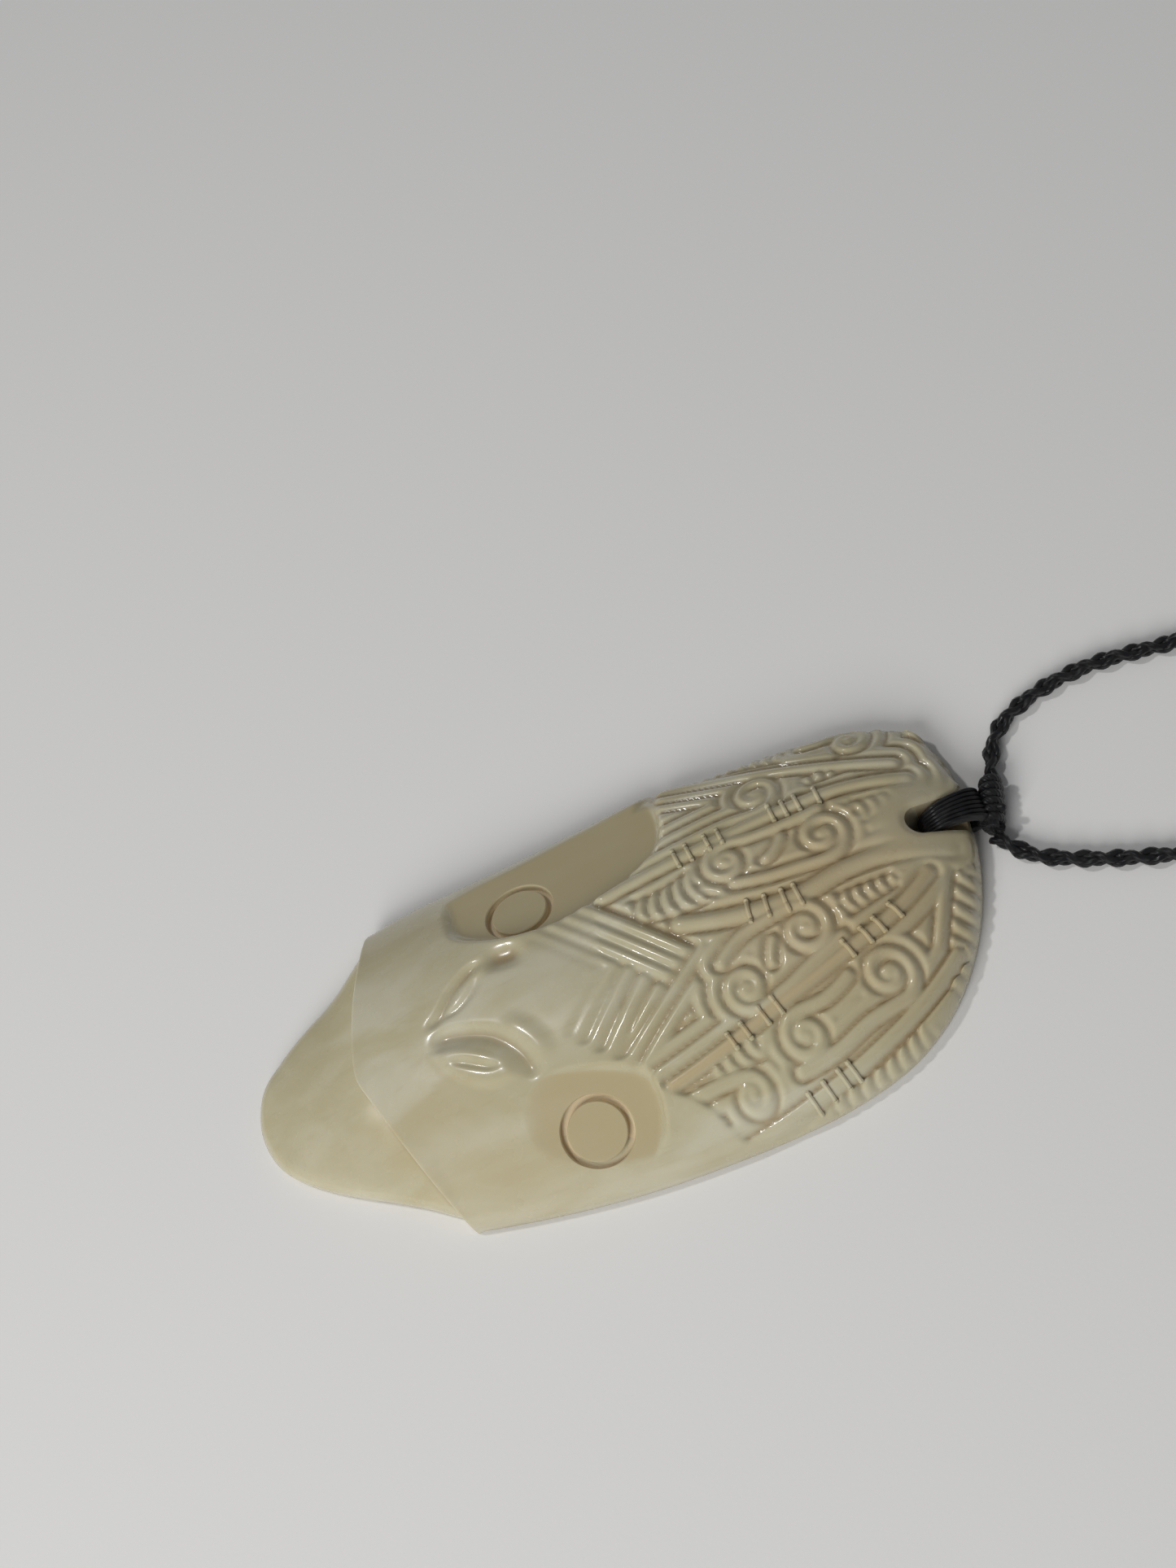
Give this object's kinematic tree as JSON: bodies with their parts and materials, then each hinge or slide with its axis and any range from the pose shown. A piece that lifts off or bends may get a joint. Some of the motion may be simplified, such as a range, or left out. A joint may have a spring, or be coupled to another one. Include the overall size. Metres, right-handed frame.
{
  "type": "bone face pendant",
  "caption": "Domed carved bone mask pendant with drilled eyes, fluted hair and a long tongue, lashed at the crown to a thin plaited cord loop with a barrel clasp.",
  "frame": {"origin": "middle of the bone face's flat back, which rests on the surface", "axes": "+Z out of the face, +Y from the chin to the crown, +X to the right of a person who looks at the face"},
  "size_m": [0.0485, 0.2455, 0.0127],
  "materials": {
    "bone": "polished bone",
    "cord": "waxed plait",
    "clasp": "satin"
  },
  "bodies": {
    "root": {"bone_face": "bone", "cord_loop": "cord", "cord_knot": "cord", "cord_left": "cord", "cord_right": "cord", "clasp": "clasp"}
  },
  "joints": []
}
